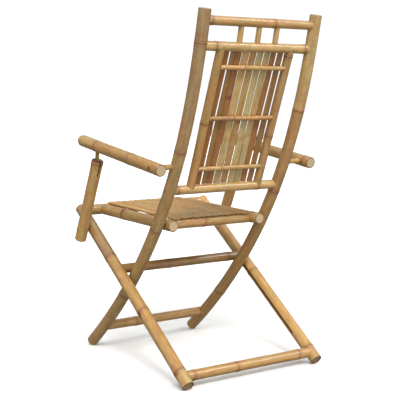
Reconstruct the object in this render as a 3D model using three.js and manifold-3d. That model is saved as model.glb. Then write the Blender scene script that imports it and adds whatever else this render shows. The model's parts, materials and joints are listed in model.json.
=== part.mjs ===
// A folding armchair of round bamboo culms, with a slatted back and a slatted seat.
// Lengths are millimetres, +Z is up, the sitter faces -Y and the sitter's left is +X.
// Two bent posts run from the front feet to the head and carry the back. Two straight poles
// cross them outside and reach the rear feet. The seat hangs between both pairs, and each
// armrest stands on a slotted support. Every pivot turns about X, so the chair folds flat.
import * as THREE from 'three';
import { mergeVertices } from 'three/addons/utils/BufferGeometryUtils.js';
import Module from 'manifold-3d';

const wasm = await Module();
wasm.setup();

// Clearances
const seat_gap = 0.3;            // between two pieces that bear on each other
const pin_gap = 0.3;             // all round a pin in its bore
const cut_overrun = 6;           // how far a cutting shape runs past what it cuts
const end_ease = 1;              // the bevel on every sawn end

// Culm diameters
const post_diameter = 33.6;
const pole_diameter = 34.2;
const armrest_diameter = 33.4;
const support_diameter = 33.4;
const seat_rail_diameter = 32.6;
const front_rail_diameter = 32;
const rear_rail_diameter = 31;
const top_rail_diameter = 24.8;
const second_rail_diameter = 25.4;
const lower_rail_diameter = 25.6;
const foot_stretcher_diameter = 28;
const middle_stretcher_diameter = 28;
const rear_stretcher_diameter = 29.6;
const stile_diameter = 24.2;
const bar_diameter = 13.6;
const spindle_diameter = 15.6;
const dowel_diameter = 15.2;

// The ridge at a bamboo node, and the shallow recess in the end of each foot
const node_rise = 0.9;
const node_width = 7;
const foot_recess_diameter = 28;
const foot_recess_depth = 2.5;

// Layers across the chair, from the middle plane outwards
const seat_rail_x = 152.3;
const rail_to_post_gap = 1.2;
const post_to_pole_gap = 3.3;
const pole_to_support_gap = 1;

// The bent post, from its foot to its head
const post_reach = 588.6;        // foot to head, front to back
const post_head_height = 986;
const foot_lean_degrees = 51;    // from upright, at the foot
const head_lean_degrees = 12;
const bend_handle_shares = [0.516, 0.214];   // of the straight line from foot to head

// Places on the post: from the head down, from the floor up, and from the seat pivot up
const top_rail_drop = 28.6;
const second_rail_drop = 92;
const seat_pivot_height = 410.3;
const arm_pivot_rise = 168.7;
const lower_rail_rise = 101.7;
const crossing_height = 249.6;
const foot_stretcher_height = 72.4;

// Head spindles
const spindle_count = 3;
const spindle_pitch = 60;

// Slats
const slat_thickness = 4;
const slat_crown = 0.8;
const slat_ease = 1.2;

// Back panel
const stile_x = 116.4;
const panel_shift = 3.4;         // of the panel and the spindles, towards the sitter's left
const back_slat_gap = 5;
const back_gap_shares = [0.346, 0.269, 0.172, 0.063, -0.041, -0.146, -0.244, -0.336, -0.442];   // across
const slat_end_gap = 1;
const bar_setback = 3.8;         // of the thin bars behind the stiles' centre lines
const back_bar_shares = [0.152, 0.512, 0.864];   // from the lower rail to the second rail

// Seat
const seat_rise_degrees = 1.75;
const seat_reach = 356;          // from the seat pivot to the front rail
const seat_rail_tail = 29;       // behind the seat pivot
const rear_rail_ahead = 14.7;    // in front of the seat pivot
const rear_rail_drop = 1.2;      // below the side rails' centre line
const seat_slat_count = 12;
const seat_slat_gap = 2.2;
const seat_edge_gap = 7.5;       // from the outermost slats to the side rails
const seat_slat_nose = 3;        // past the front rail's crest
const seat_slat_tail = 16.5;     // past the rear rail's crest
const front_tenon_diameter = 12;
const seat_bar_shares = [0.33, 0.67];            // from the rear rail to the front rail
const fold_degrees = 102;        // how far the seat swings up

// Rear leg frame, measured along the pole
const pole_tip = 11.5;           // above the front rail
const middle_stretcher_up = 36.8;  // above the crossing
const rear_stretcher_up = 31.5;    // above the foot
const slot_width = 9;
const slot_depth = 8;
const slot_lead = 13;            // above the slide pin when the chair is open
const slot_spare = 15;           // below the slide pin when it is folded

// Arms
const arm_slope_degrees = 8.4;
const arm_tail = 35;             // behind the arm pivot
const armrest_length = 430;
const arm_dome = 14;
const strap_reach = 295.3;       // from the arm pivot forwards
const strap_drop = 54.8;         // from the armrest's axis to the cross pin
const strap_width = 16;
const strap_thickness = 3;
const strap_seat = 20;           // let into the armrest
const strap_side_gap = 0.5;
const support_head = 15;         // above the cross pin
const support_tail = 36;         // below the lower pin
const support_slot_depth = 44;
const support_pin_down = 79;     // from the front rail, along the pole

// Pins
const pin_diameter = 8;
const pin_seat = 14;             // let into a culm
const pin_recess = 1.5;          // below the surface that it comes out of

// Where the nodes lie along each culm. Rails and bars that carry slats are pared smooth.
const post_node_shares = { left: [0.227, 0.445, 0.665, 0.917], right: [0.183, 0.55, 0.767] };
const pole_node_shares = { left: [0.313, 0.607, 0.931], right: [0.469, 0.921] };
const armrest_node_shares = { left: [0.38, 0.829], right: [0.052] };
const support_node_shares = { left: [0.976], right: [0.62] };
const seat_rail_node_shares = { left: [0.698], right: [0.092] };
const stile_node_shares = { left: [0.463], right: [0.371, 0.947] };
const top_rail_node_shares = [0.07, 0.62];
const second_rail_node_shares = [0.137, 0.944];
const lower_rail_node_shares = [0.089, 0.819];
const foot_stretcher_node_shares = [0.3, 0.941];
const middle_stretcher_node_shares = [0.384, 0.874];
const rear_stretcher_node_shares = [0.071, 0.392, 0.886];

// How finely round things are drawn
const culm_sides = 16;
const thin_sides = 12;
const dome_steps = 3;
const crown_steps = 3;              // an odd number leaves a flat strip along the middle
const bend_steps = 18;
const halvings = 40;             // in the search for a height on the bent post

// Sizes that follow from the ones above
const post_radius = post_diameter / 2;
const pole_radius = pole_diameter / 2;
const armrest_radius = armrest_diameter / 2;
const support_radius = support_diameter / 2;
const seat_rail_radius = seat_rail_diameter / 2;
const front_rail_radius = front_rail_diameter / 2;
const rear_rail_radius = rear_rail_diameter / 2;
const post_x = seat_rail_x + seat_rail_radius + rail_to_post_gap + post_radius;
const pole_x = post_x + post_radius + post_to_pole_gap + pole_radius;
const arm_x = pole_x + pole_radius + pole_to_support_gap + Math.max(support_radius, armrest_radius);
const foot_lean = THREE.MathUtils.degToRad(foot_lean_degrees);
const head_lean = THREE.MathUtils.degToRad(head_lean_degrees);
const seat_rise = THREE.MathUtils.degToRad(seat_rise_degrees);
const arm_slope = THREE.MathUtils.degToRad(arm_slope_degrees);
const fold_angle = THREE.MathUtils.degToRad(fold_degrees);
const strap_end_radius = strap_width / 2;
const sides = { left: 1, right: -1 };

// Plain bamboo colours, and the brass of the fittings
const bamboo_gold = 0xb8905a;
const bamboo_pale = 0xc9ad7c;
const slat_tones = [
  0x5b3c22, 0x6d4526, 0x85562f, 0x96784a, 0xa68a5a, 0xa9946a, 0xb6a684, 0x6e4127, 0x6b4a2a,
];
const bamboo_roughness = 0.5;
const brass_colour = 0x8a7238;
const brass_roughness = 0.4;
const brass_metalness = 0.9;

function bamboo(colour) {
  return new THREE.MeshStandardMaterial({ color: colour, roughness: bamboo_roughness, metalness: 0 });
}

function brass() {
  return new THREE.MeshStandardMaterial({
    color: brass_colour, roughness: brass_roughness, metalness: brass_metalness,
  });
}

function at(x, y, z) {
  return new THREE.Vector3(x, y, z);
}

// Solids: a closed geometry becomes a solid, is cut, and comes back as a geometry.
function solid(geometry) {
  const bare = geometry.index ? geometry.toNonIndexed() : geometry.clone();
  bare.deleteAttribute('normal');
  bare.deleteAttribute('uv');
  const merged = mergeVertices(bare);
  const index = merged.index.array;
  const kept = [];
  for (let i = 0; i < index.length; i += 3) {
    const [a, b, c] = [index[i], index[i + 1], index[i + 2]];
    if (a !== b && b !== c && c !== a) kept.push(a, b, c);
  }
  return new wasm.Manifold(new wasm.Mesh({
    numProp: 3,
    vertProperties: new Float32Array(merged.attributes.position.array),
    triVerts: new Uint32Array(kept),
  }));
}

function cut(geometry, ...cutters) {
  let body = solid(geometry);
  for (const cutter of cutters) body = body.subtract(solid(cutter));
  return geometryOf(body);
}

function joined(first, second) {
  return geometryOf(solid(first).add(solid(second)));
}

function geometryOf(body) {
  const mesh = body.getMesh();
  const result = new THREE.BufferGeometry();
  result.setAttribute('position', new THREE.BufferAttribute(new Float32Array(mesh.vertProperties), 3));
  result.setIndex(new THREE.BufferAttribute(new Uint32Array(mesh.triVerts), 1));
  result.computeVertexNormals();
  return result;
}

// A round shape is turned about Y from a list of [radius, place along Y].
function turned(profile, side_count) {
  const points = profile.map(([radius, along]) => new THREE.Vector2(radius, along));
  return new THREE.LatheGeometry(points, side_count);
}

function nodeRidge(radius, place) {
  return [[radius, place - node_width / 2], [radius + node_rise, place], [radius, place + node_width / 2]];
}

// A culm along Y with a ridge at each node, sawn square at both ends or domed at its far end.
function culm(length, diameter, node_shares, options = {}) {
  const { grow = 0, dome = 0, steps = 0, side_count = culm_sides } = options;
  const radius = diameter / 2 + grow;
  const rings = [[0, 0], [radius - end_ease, 0], [radius, end_ease]];
  const middle = [];
  for (let i = 1; i < steps; i += 1) middle.push([radius, (length * i) / steps]);
  for (const share of node_shares) middle.push(...nodeRidge(radius, share * length));
  middle.sort((p, q) => p[1] - q[1]);
  rings.push(...middle);
  if (dome > 0) {
    for (let i = 0; i <= dome_steps; i += 1) {
      const angle = (Math.PI / 2) * (i / dome_steps);
      rings.push([radius * Math.cos(angle), length - dome + dome * Math.sin(angle)]);
    }
    rings[rings.length - 1][0] = 0;
  } else {
    rings.push([radius, length - end_ease], [radius - end_ease, length], [0, length]);
  }
  return turned(rings, side_count);
}

// A plain cylinder along Y.
function rod(length, diameter, grow = 0) {
  const radius = diameter / 2 + grow;
  return turned([[0, 0], [radius, 0], [radius, length], [0, length]], thin_sides);
}

// Lays a shape that runs along Y from one point towards another, with its own X along `across`.
function laid(geometry, from, to, across) {
  const along = to.clone().sub(from).normalize();
  const frame = new THREE.Matrix4().makeBasis(across, along, across.clone().cross(along));
  return geometry.applyMatrix4(frame.setPosition(from));
}

// A shape along Y laid across the chair, from the left of x = from to x = to, at y and z.
function crosswise(geometry, from_x, to_x, y, z) {
  return laid(geometry, at(from_x, y, z), at(to_x, y, z), at(0, 1, 0));
}

function bore(from_x, to_x, y, z, diameter, grow = 0) {
  const [low, high] = [Math.min(from_x, to_x), Math.max(from_x, to_x)];
  return crosswise(rod(high - low, diameter, grow), low, high, y, z);
}

function piece(group, name, geometry, material) {
  const mesh = new THREE.Mesh(geometry, material);
  mesh.name = name;
  group.add(mesh);
  return mesh;
}

// The bent post's centre line lies in the plane x = 0. Its foot is cut square and stands on its rim.
function rimHeight(radius, lean) {
  return radius * Math.sin(lean) - end_ease * Math.min(Math.cos(lean), Math.sin(lean));
}

const post_foot = at(0, 0, rimHeight(post_radius, foot_lean));
const post_head = at(0, post_reach, post_head_height);
const [foot_handle, head_handle] = bend_handle_shares.map((share) => share * post_head.distanceTo(post_foot));
const post_line = new THREE.CubicBezierCurve3(
  post_foot,
  post_foot.clone().add(at(0, Math.sin(foot_lean), Math.cos(foot_lean)).multiplyScalar(foot_handle)),
  post_head.clone().sub(at(0, Math.sin(head_lean), Math.cos(head_lean)).multiplyScalar(head_handle)),
  post_head,
);
const post_length = post_line.getLength();

// Bends a shape that runs along Y so that it follows the post's centre line.
function bentToPost(geometry) {
  const position = geometry.attributes.position;
  for (let i = 0; i < position.count; i += 1) {
    const share = THREE.MathUtils.clamp(position.getY(i) / post_length, 0, 1);
    const tangent = post_line.getTangentAt(share);
    const outward = at(1, 0, 0).cross(tangent);
    const point = post_line.getPointAt(share).addScaledVector(outward, position.getZ(i));
    position.setXYZ(i, position.getX(i), point.y, point.z);
  }
  return geometry;
}

// The point of the post's centre line at a height.
function postAt(height) {
  let [low, high] = [0, 1];
  for (let i = 0; i < halvings; i += 1) {
    const middle = (low + high) / 2;
    if (post_line.getPointAt(middle).z < height) low = middle;
    else high = middle;
  }
  return post_line.getPointAt(low);
}

// Pivots, in the plane x = 0
const top_rail_at = postAt(post_head_height - top_rail_drop);
const second_rail_at = postAt(post_head_height - second_rail_drop);
const arm_pivot = postAt(seat_pivot_height + arm_pivot_rise);
const lower_rail_at = postAt(seat_pivot_height + lower_rail_rise);
const seat_pivot = postAt(seat_pivot_height);
const slide_pin_at = postAt(crossing_height);
const foot_stretcher_at = postAt(foot_stretcher_height);
const front_rail_at = seat_pivot.clone().add(
  at(0, -Math.cos(seat_rise), Math.sin(seat_rise)).multiplyScalar(seat_reach),
);
const pole_down = slide_pin_at.clone().sub(front_rail_at);
const open_slide = pole_down.length();
pole_down.normalize();
const pole_dip = Math.atan2(-pole_down.z, pole_down.y);
const support_pin_at = front_rail_at.clone().addScaledVector(pole_down, support_pin_down);
const strap_pin_at = arm_pivot.clone()
  .addScaledVector(at(0, -Math.cos(arm_slope), Math.sin(arm_slope)), strap_reach)
  .addScaledVector(at(0, -Math.sin(arm_slope), -Math.cos(arm_slope)), strap_drop);
const support_span = strap_pin_at.distanceTo(support_pin_at);
const support_down = support_pin_at.clone().sub(strap_pin_at).normalize();

// How far down the pole the slide pin stands once the seat has swung up.
const folded_front = seat_pivot.clone().add(
  at(0, -Math.cos(seat_rise + fold_angle), Math.sin(seat_rise + fold_angle)).multiplyScalar(seat_reach),
);
const folded_slide = folded_front.distanceTo(slide_pin_at);

// Groups: one for each body that moves as a whole
const chair = new THREE.Group();
const back_frame = new THREE.Group();
const seat = new THREE.Group();
seat.position.copy(seat_pivot);
seat.rotation.x = -seat_rise;
const leg_frame = new THREE.Group();
leg_frame.position.copy(front_rail_at);
leg_frame.rotation.x = -pole_dip;
chair.add(back_frame, seat, leg_frame);

// Back frame: posts, with bores for the slide pin and the seat pin and a recess in the foot
function postShape(side, grow = 0) {
  const shape = culm(post_length, post_diameter, post_node_shares[side], { grow, steps: bend_steps });
  return bentToPost(shape).translate(sides[side] * post_x, 0, 0);
}

for (const [side, sign] of Object.entries(sides)) {
  const outer_face = sign * (post_x + post_radius);
  const inner_face = sign * (post_x - post_radius);
  const slide_bore = bore(
    outer_face - sign * (pin_seat + pin_gap), outer_face + sign * cut_overrun,
    slide_pin_at.y, slide_pin_at.z, pin_diameter, pin_gap,
  );
  const seat_bore = bore(
    inner_face + sign * (pin_seat + pin_gap), inner_face - sign * cut_overrun,
    seat_pivot.y, seat_pivot.z, pin_diameter, pin_gap,
  );
  const foot_centre = post_foot.clone().setX(sign * post_x);
  const foot_recess = laid(
    rod(foot_recess_depth + cut_overrun, foot_recess_diameter),
    foot_centre.clone().addScaledVector(post_line.getTangentAt(0), -cut_overrun), foot_centre, at(1, 0, 0),
  );
  const bored_post = cut(postShape(side), slide_bore, seat_bore, foot_recess);
  piece(back_frame, `post_${side}`, bored_post, bamboo(bamboo_gold));

  const slide_pin_end = sign * (pole_x - pole_radius - node_rise - pin_gap);
  const slide_pin = bore(
    outer_face - sign * pin_seat, slide_pin_end, slide_pin_at.y, slide_pin_at.z, pin_diameter,
  );
  piece(back_frame, `slide_pin_${side}`, cut(slide_pin), brass());

  const seat_pin_end = sign * (seat_rail_x + seat_rail_radius - pin_seat);
  const seat_pin = bore(
    inner_face + sign * pin_seat, seat_pin_end, seat_pivot.y, seat_pivot.z, pin_diameter,
  );
  piece(back_frame, `seat_pin_${side}`, cut(seat_pin), brass());

  // The arm dowel stands on the post's side, and its narrow tenon goes through the armrest.
  const shoulder = arm_x - armrest_radius - seat_gap - post_x;
  const tip = arm_x + armrest_radius - pin_recess - post_x;
  const dowel = turned([
    [0, 0], [dowel_diameter / 2, 0], [dowel_diameter / 2, shoulder],
    [pin_diameter / 2, shoulder], [pin_diameter / 2, tip], [0, tip],
  ], thin_sides);
  crosswise(dowel, sign * post_x, sign * arm_x, arm_pivot.y, arm_pivot.z);
  piece(back_frame, `arm_dowel_${side}`, cut(dowel, postShape(side, seat_gap)), bamboo(bamboo_pale));
}

// Back frame: rails from post to post, coped to the posts
function railShape(point, diameter, node_shares, half_width, grow = 0) {
  const shape = culm(2 * half_width, diameter, node_shares, { grow });
  return crosswise(shape, half_width, -half_width, point.y, point.z);
}

const post_cutters = [postShape('left', seat_gap), postShape('right', seat_gap)];
const back_rails = {
  top_rail: [top_rail_at, top_rail_diameter, top_rail_node_shares],
  second_rail: [second_rail_at, second_rail_diameter, second_rail_node_shares],
  lower_back_rail: [lower_rail_at, lower_rail_diameter, lower_rail_node_shares],
  foot_stretcher: [foot_stretcher_at, foot_stretcher_diameter, foot_stretcher_node_shares],
};
for (const [name, [point, diameter, node_shares]] of Object.entries(back_rails)) {
  const rail = railShape(point, diameter, node_shares, post_x);
  piece(back_frame, name, cut(rail, ...post_cutters), bamboo(bamboo_gold));
}

function backRailCutter(name) {
  const [point, diameter, node_shares] = back_rails[name];
  return railShape(point, diameter, node_shares, post_x, seat_gap);
}

// Head spindles, coped between the top rail and the second rail
for (let i = 0; i < spindle_count; i += 1) {
  const x = (i - (spindle_count - 1) / 2) * spindle_pitch + panel_shift;
  const [low, high] = [second_rail_at.clone().setX(x), top_rail_at.clone().setX(x)];
  const spindle = laid(rod(low.distanceTo(high), spindle_diameter), low, high, at(1, 0, 0));
  const fitted = cut(spindle, backRailCutter('second_rail'), backRailCutter('top_rail'));
  piece(back_frame, `spindle_${i + 1}`, fitted, bamboo(bamboo_pale));
}

// Back panel: two stiles between the lower rail and the second rail, thin bars between the
// stiles, and flat slats in front of the bars
const panel_up = second_rail_at.clone().sub(lower_rail_at).normalize();
const panel_front = at(1, 0, 0).cross(panel_up);
const panel_height = second_rail_at.distanceTo(lower_rail_at);

function stileShape(side, grow = 0) {
  const shape = culm(panel_height, stile_diameter, stile_node_shares[side], { grow });
  const x = sides[side] * stile_x + panel_shift;
  return laid(shape, lower_rail_at, second_rail_at, at(1, 0, 0)).translate(x, 0, 0);
}

for (const side of Object.keys(sides)) {
  const fitted = cut(stileShape(side), backRailCutter('lower_back_rail'), backRailCutter('second_rail'));
  piece(back_frame, `back_stile_${side}`, fitted, bamboo(bamboo_gold));
}

const stile_cutters = [stileShape('left', seat_gap), stileShape('right', seat_gap)];
back_bar_shares.forEach((share, i) => {
  const centre = lower_rail_at.clone()
    .addScaledVector(panel_up, share * panel_height)
    .addScaledVector(panel_front, -bar_setback);
  const bar = crosswise(
    culm(2 * stile_x, bar_diameter, [], { side_count: thin_sides }),
    stile_x + panel_shift, panel_shift - stile_x, centre.y, centre.z,
  );
  piece(back_frame, `back_bar_${i + 1}`, cut(bar, ...stile_cutters), bamboo(bamboo_pale));
});

// A slat runs along Y. Its flat back lies on z = 0, and its crowned skin faces +Z.
function slatShape(length, width) {
  const outline = new THREE.Shape();
  outline.moveTo(-width / 2, 0);
  outline.lineTo(width / 2, 0);
  outline.lineTo(width / 2, slat_thickness - slat_crown - slat_ease);
  for (let i = 0; i <= crown_steps; i += 1) {
    const share = 1 - (2 * i) / crown_steps;
    const height = slat_thickness - slat_crown * share * share;
    outline.lineTo((width / 2 - slat_ease) * share, height);
  }
  outline.lineTo(-width / 2, slat_thickness - slat_crown - slat_ease);
  const shape = new THREE.ExtrudeGeometry(outline, { depth: length, bevelEnabled: false, steps: 1 });
  return shape.rotateX(-Math.PI / 2).rotateY(Math.PI);
}

// A row of slats side by side, each from one line towards another, lifted off that plane. Each
// slat fills the room between two edge lines, less a gap shared by its two sides.
function slatRow(group, prefix, { from, to, lift, edges, gap, tones, cutters = [] }) {
  const along = to.clone().sub(from).normalize();
  for (let i = 0; i + 1 < edges.length; i += 1) {
    const start = from.clone().add(lift).setX((edges[i] + edges[i + 1]) / 2);
    const shape = slatShape(from.distanceTo(to), edges[i] - edges[i + 1] - gap);
    const slat = laid(shape, start, start.clone().add(along), at(1, 0, 0));
    const number = String(i + 1).padStart(2, '0');
    piece(group, `${prefix}_${number}`, cut(slat, ...cutters), bamboo(tones[i % tones.length]));
  }
}

// The first back slat is narrowed by its stile.
const back_slat_low = lower_rail_diameter / 2 + slat_end_gap;
const back_slat_high = panel_height - second_rail_diameter / 2 - slat_end_gap;
slatRow(back_frame, 'back_slat', {
  from: lower_rail_at.clone().addScaledVector(panel_up, back_slat_low),
  to: lower_rail_at.clone().addScaledVector(panel_up, back_slat_high),
  lift: panel_front.clone().multiplyScalar(bar_diameter / 2 + seat_gap - bar_setback),
  edges: [0.5, ...back_gap_shares].map((share) => share * 2 * stile_x + panel_shift),
  gap: back_slat_gap,
  tones: slat_tones,
  cutters: stile_cutters,
});

// Leg frame: y runs down the pole from the front rail, and the poles' inner faces are slotted
const pole_foot_height = rimHeight(pole_radius, Math.PI / 2 - pole_dip);
const pole_foot_down = (front_rail_at.z - pole_foot_height) / Math.sin(pole_dip);
const pole_length = pole_tip + pole_foot_down;

function poleShape(side, grow = 0) {
  const shape = culm(pole_length, pole_diameter, pole_node_shares[side], { grow });
  return shape.translate(sides[side] * pole_x, -pole_tip, 0);
}

function slotShape(sign) {
  const [top, bottom] = [open_slide - slot_lead, folded_slide + slot_spare];
  const outline = new THREE.Shape();
  outline.absarc(0, bottom, slot_width / 2, 0, Math.PI);
  outline.absarc(0, top, slot_width / 2, Math.PI, 2 * Math.PI);
  const shape = new THREE.ExtrudeGeometry(outline, {
    depth: slot_depth + cut_overrun, bevelEnabled: false, steps: 1, curveSegments: dome_steps,
  });
  const middle = pole_x - pole_radius + (slot_depth - cut_overrun) / 2;
  shape.translate(0, 0, -(slot_depth + cut_overrun) / 2);
  return shape.rotateY(Math.PI / 2).translate(sign * middle, 0, 0);
}

for (const [side, sign] of Object.entries(sides)) {
  const tenon_bore = bore(
    sign * (pole_x - pole_radius - cut_overrun), sign * (pole_x + pole_radius + cut_overrun),
    0, 0, front_tenon_diameter, pin_gap,
  );
  const foot_centre = at(sign * pole_x, pole_foot_down, 0);
  const foot_recess = laid(
    rod(foot_recess_depth + cut_overrun, foot_recess_diameter),
    foot_centre.clone().add(at(0, cut_overrun, 0)), foot_centre, at(1, 0, 0),
  );
  const fitted = cut(poleShape(side), slotShape(sign), tenon_bore, foot_recess);
  piece(leg_frame, `pole_${side}`, fitted, bamboo(bamboo_gold));
}

const pole_cutters = [poleShape('left', seat_gap), poleShape('right', seat_gap)];
const middle_stretcher_down = open_slide - middle_stretcher_up;
const rear_stretcher_down = pole_foot_down - rear_stretcher_up;
const stretchers = {
  middle_stretcher: [middle_stretcher_down, middle_stretcher_diameter, middle_stretcher_node_shares],
  rear_stretcher: [rear_stretcher_down, rear_stretcher_diameter, rear_stretcher_node_shares],
};
for (const [name, [down, diameter, node_shares]] of Object.entries(stretchers)) {
  const stretcher = railShape(at(0, down, 0), diameter, node_shares, pole_x);
  piece(leg_frame, name, cut(stretcher, ...pole_cutters), bamboo(bamboo_gold));
}

// Seat: y runs backwards along the side rails from the seat pivot
const rear_rail_point = at(0, -rear_rail_ahead, -rear_rail_drop);
const front_rail_point = at(0, -seat_reach, 0);

// The front rail's tenons turn in the poles, which bear on its square shoulders.
function frontRailShape(grow = 0) {
  const shoulder = pole_x - pole_radius - pin_gap;
  const tenon = pole_radius * 2 + pin_gap - pin_recess;
  const length = 2 * shoulder;
  const radius = front_rail_radius + grow;
  const tenon_radius = front_tenon_diameter / 2;
  const shape = turned([
    [0, -tenon], [tenon_radius, -tenon], [tenon_radius, 0], [radius, 0],
    [radius, length], [tenon_radius, length], [tenon_radius, length + tenon], [0, length + tenon],
  ], culm_sides);
  return crosswise(shape, shoulder, -shoulder, front_rail_point.y, 0);
}

piece(seat, 'seat_front_rail', cut(frontRailShape()), bamboo(bamboo_gold));

function seatRailShape(side, grow = 0) {
  const shape = culm(seat_rail_tail + seat_reach, seat_rail_diameter, seat_rail_node_shares[side], { grow });
  const x = sides[side] * seat_rail_x;
  return laid(shape, at(x, seat_rail_tail, 0), front_rail_point.clone().setX(x), at(1, 0, 0));
}

for (const [side, sign] of Object.entries(sides)) {
  const outer_face = sign * (seat_rail_x + seat_rail_radius);
  const pivot_bore = bore(
    outer_face - sign * (pin_seat + pin_gap), outer_face + sign * cut_overrun, 0, 0, pin_diameter, pin_gap,
  );
  const fitted = cut(seatRailShape(side), frontRailShape(seat_gap), pivot_bore);
  piece(seat, `seat_rail_${side}`, fitted, bamboo(bamboo_gold));
}

const seat_rail_cutters = [seatRailShape('left', seat_gap), seatRailShape('right', seat_gap)];
const rear_rail = railShape(rear_rail_point, rear_rail_diameter, [], seat_rail_x);
piece(seat, 'seat_rear_rail', cut(rear_rail, ...seat_rail_cutters), bamboo(bamboo_gold));

// Seat panel: the slats lie on the crests of both rails and on two thin bars
const seat_span = rear_rail_point.distanceTo(front_rail_point);
const crest_tilt = Math.asin((front_rail_radius - rear_rail_radius) / seat_span)
  + Math.asin(rear_rail_drop / seat_span);
const panel_forward = at(0, -Math.cos(crest_tilt), Math.sin(crest_tilt));
const panel_upward = at(0, Math.sin(crest_tilt), Math.cos(crest_tilt));
const rear_crest = rear_rail_point.clone().addScaledVector(panel_upward, rear_rail_radius);
const crest_span = front_rail_point.clone().sub(rear_rail_point).dot(panel_forward);
const seat_panel_side = seat_rail_x - seat_rail_radius - seat_edge_gap;
const seat_edges = Array.from({ length: seat_slat_count + 1 }, (_, i) => (
  seat_panel_side * (1 - (2 * i) / seat_slat_count)
));
seat_bar_shares.forEach((share, i) => {
  const centre = rear_crest.clone()
    .addScaledVector(panel_forward, share * crest_span)
    .addScaledVector(panel_upward, -bar_diameter / 2);
  const bar = crosswise(
    culm(2 * seat_rail_x, bar_diameter, [], { side_count: thin_sides }),
    seat_rail_x, -seat_rail_x, centre.y, centre.z,
  );
  piece(seat, `seat_bar_${i + 1}`, cut(bar, ...seat_rail_cutters), bamboo(bamboo_pale));
});
slatRow(seat, 'seat_slat', {
  from: rear_crest.clone().addScaledVector(panel_forward, crest_span + seat_slat_nose),
  to: rear_crest.clone().addScaledVector(panel_forward, -seat_slat_tail),
  lift: panel_upward.clone().multiplyScalar(seat_gap),
  edges: seat_edges,
  gap: seat_slat_gap,
  tones: [bamboo_pale],
});

// Arms: each armrest turns on its dowel, and carries a strap with the pin that its support hangs on
function strapShape() {
  const outline = new THREE.Shape();
  const top = strap_seat - armrest_radius;
  outline.moveTo(strap_end_radius, -strap_drop);
  outline.lineTo(strap_end_radius, top);
  outline.lineTo(-strap_end_radius, top);
  outline.lineTo(-strap_end_radius, -strap_drop);
  outline.absarc(0, -strap_drop, strap_end_radius, Math.PI, 2 * Math.PI);
  const shape = new THREE.ExtrudeGeometry(outline, {
    depth: strap_thickness, bevelEnabled: false, steps: 1, curveSegments: thin_sides / 2,
  });
  return shape.translate(0, 0, -strap_thickness / 2).applyMatrix4(
    new THREE.Matrix4().makeBasis(at(0, 1, 0), at(0, 0, 1), at(1, 0, 0)),
  );
}

const pin_reach = support_radius - pin_recess;
for (const [side, sign] of Object.entries(sides)) {
  const arm = new THREE.Group();
  arm.position.copy(arm_pivot).setX(sign * arm_x);
  arm.rotation.x = -arm_slope;
  chair.add(arm);
  const armrest = laid(
    culm(armrest_length, armrest_diameter, armrest_node_shares[side], { dome: arm_dome }),
    at(0, arm_tail, 0), at(0, arm_tail - armrest_length, 0), at(1, 0, 0),
  );
  const tenon_bore = bore(-armrest_diameter, armrest_diameter, 0, 0, pin_diameter, pin_gap);
  const mortise = new THREE.BoxGeometry(
    strap_thickness + 2 * seat_gap, strap_width + 2 * seat_gap, strap_seat + seat_gap + cut_overrun,
  );
  mortise.translate(0, -strap_reach, strap_seat + seat_gap - armrest_radius - mortise.parameters.depth / 2);
  piece(arm, `armrest_${side}`, cut(armrest, tenon_bore, mortise), bamboo(bamboo_gold));
  const cross_pin = bore(-pin_reach, pin_reach, 0, -strap_drop, pin_diameter);
  piece(arm, `strap_${side}`, joined(strapShape(), cross_pin).translate(0, -strap_reach, 0), brass());

  // The support hangs from the cross pin: z runs up its axis, and its head is sawn to a fork.
  const support = new THREE.Group();
  support.position.copy(strap_pin_at).setX(sign * arm_x);
  support.rotation.x = Math.atan2(support_down.y, -support_down.z);
  chair.add(support);
  const support_length = support_head + support_span + support_tail;
  const post = laid(
    culm(support_length, support_diameter, support_node_shares[side]),
    at(0, 0, -support_span - support_tail), at(0, 0, 0), at(1, 0, 0),
  );
  const fork_width = strap_thickness + 2 * strap_side_gap;
  const fork_slot = new THREE.BoxGeometry(
    fork_width, support_diameter + 2 * cut_overrun, support_slot_depth + cut_overrun,
  );
  fork_slot.translate(0, 0, support_head - support_slot_depth + fork_slot.parameters.depth / 2);
  const cross_bore = bore(-support_diameter, support_diameter, 0, 0, pin_diameter, pin_gap);
  const lower_bore = bore(-support_diameter, support_diameter, 0, -support_span, pin_diameter, pin_gap);
  piece(support, `arm_support_${side}`, cut(post, fork_slot, cross_bore, lower_bore), bamboo(bamboo_gold));
  const lower_pin = bore(-pin_reach, pin_reach, 0, -support_span, pin_diameter);
  piece(support, `lower_pin_${side}`, cut(lower_pin), brass());
}

// The chair stands on the floor, centred on its origin.
const bounds = new THREE.Box3().setFromObject(chair, true);
chair.position.set(0, -(bounds.min.y + bounds.max.y) / 2, -bounds.min.z);

export default chair;
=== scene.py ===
import json

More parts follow.
